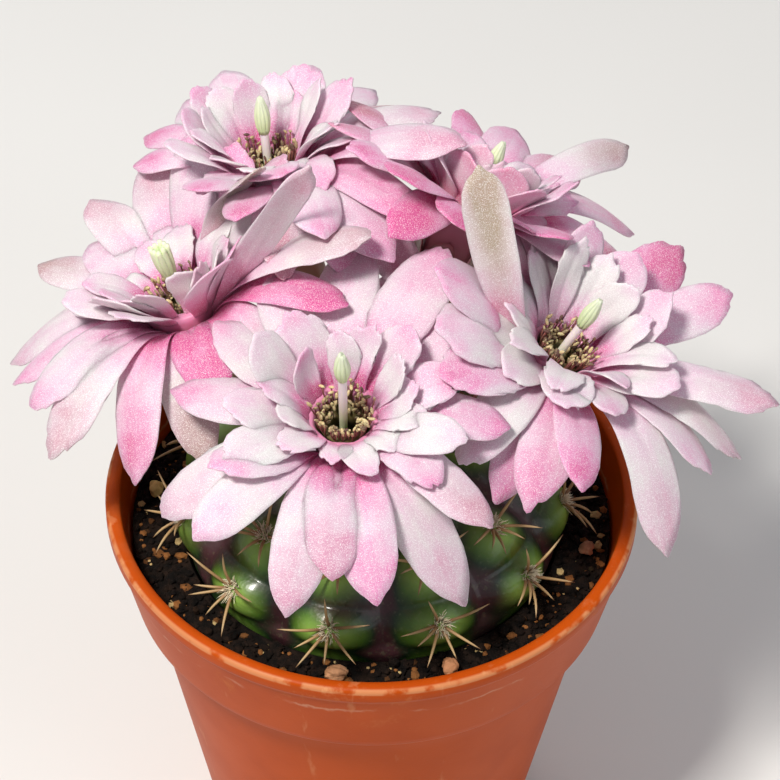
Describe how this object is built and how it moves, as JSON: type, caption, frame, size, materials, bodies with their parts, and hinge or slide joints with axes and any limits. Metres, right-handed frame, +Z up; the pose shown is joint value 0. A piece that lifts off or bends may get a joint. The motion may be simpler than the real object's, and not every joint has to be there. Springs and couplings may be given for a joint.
{
  "type": "flowering chin cactus in a nursery pot",
  "caption": "Chin cactus in full bloom in a round terracotta-coloured plastic nursery pot: low ribbed body with spiny chins and large pale pink flowers.",
  "frame": {"origin": "centre of the pot's underside, on the surface the pot stands on", "axes": "+Z up the pot's axis, -Y towards the viewer of the picture, +X to the viewer's right"},
  "size_m": [0.0926, 0.0778, 0.1038],
  "materials": {
    "pot_plastic": "satin",
    "soil": "rough",
    "grit": "rough",
    "cactus_skin": "satin",
    "petals": "satin",
    "stamens": "rough",
    "style": "satin"
  },
  "bodies": {
    "root": {"pot": "pot_plastic", "soil": "soil", "cactus_body": "cactus_skin", "grit_stone_1": "grit", "grit_stone_2": "grit", "grit_stone_3": "grit", "grit_stone_4": "grit", "flower_front": "petals", "flower_front_stamens": "stamens", "flower_front_style": "style", "flower_left": "petals", "flower_left_stamens": "stamens", "flower_left_style": "style", "flower_right": "petals", "flower_right_stamens": "stamens", "flower_right_style": "style", "flower_back_left": "petals", "flower_back_left_stamens": "stamens", "flower_back_left_style": "style", "flower_back_right": "petals", "flower_back_right_stamens": "stamens", "flower_back_right_style": "style"}
  },
  "joints": []
}
